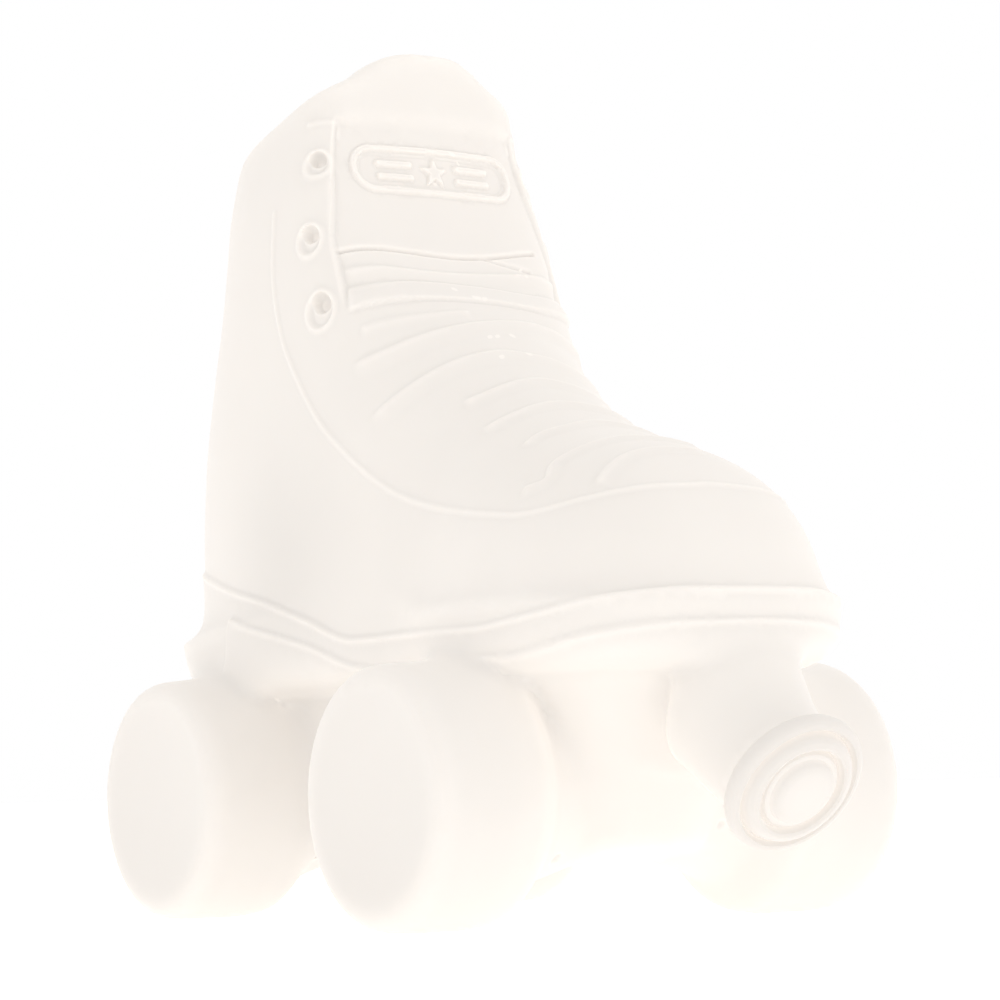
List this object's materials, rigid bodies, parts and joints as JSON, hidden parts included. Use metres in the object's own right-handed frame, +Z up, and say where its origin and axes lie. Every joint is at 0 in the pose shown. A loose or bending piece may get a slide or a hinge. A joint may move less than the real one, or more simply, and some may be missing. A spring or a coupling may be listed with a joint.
{
  "type": "roller skate lamp",
  "caption": "Table lamp shaped like a quad roller skate: translucent shell on moulded wheels, with a rechargeable light module, button and charging port underneath.",
  "frame": {"origin": "centre of the bounding box, on the surface the wheels stand on", "axes": "+X to the toe, +Y to the skate's left side, +Z up"},
  "size_m": [0.2356, 0.129, 0.217],
  "materials": {
    "shell": "translucent satin moulded plastic",
    "cover": "fine textured moulded plastic",
    "gasket": "matt silicone",
    "screw": "nickel plated",
    "board": "white solder mask",
    "led": "clear resin over phosphor",
    "chip": "moulded epoxy",
    "diffuser": "frosted",
    "cell": "foil pouch",
    "foam": "open cell foam",
    "connector": "moulded nylon",
    "lead_red": "insulation",
    "lead_black": "insulation",
    "switch": "moulded plastic",
    "soft_button": "satin silicone",
    "socket": "drawn steel can",
    "soft_plug": "matt silicone"
  },
  "bodies": {
    "lamp": {"skate_shell": "shell", "base_cover": "cover", "base_gasket": "gasket", "base_screw_1": "screw", "base_screw_2": "screw", "base_screw_3": "screw", "base_screw_4": "screw", "led_board": "board", "board_screw_1": "screw", "board_screw_2": "screw", "board_screw_3": "screw", "board_screw_4": "screw", "led_1": "led", "led_2": "led", "led_3": "led", "led_4": "led", "led_5": "led", "led_6": "led", "led_7": "led", "led_8": "led", "driver_chip": "chip", "charge_chip": "chip", "diffuser_dome": "diffuser", "battery_cell": "cell", "foam_pad": "foam", "battery_plug": "connector", "battery_lead_red": "lead_red", "battery_lead_black": "lead_black", "tact_switch": "switch", "usb_c_socket": "socket", "plug_anchor": "soft_plug"},
    "button": {"power_button": "soft_button"},
    "plug": {"port_plug": "soft_plug"}
  },
  "joints": [
    {"name": "button_press", "type": "slide", "parent": "lamp", "child": "button", "axis": [0, 0, 1], "range_m": [0, 0.0006], "stiffness_N_per_m": 500},
    {"name": "plug_flap", "type": "hinge", "parent": "lamp", "child": "plug", "pos_m": [0, 0, 0.0173], "axis": [0, 1, 0], "range_deg": [0, 110]}
  ]
}
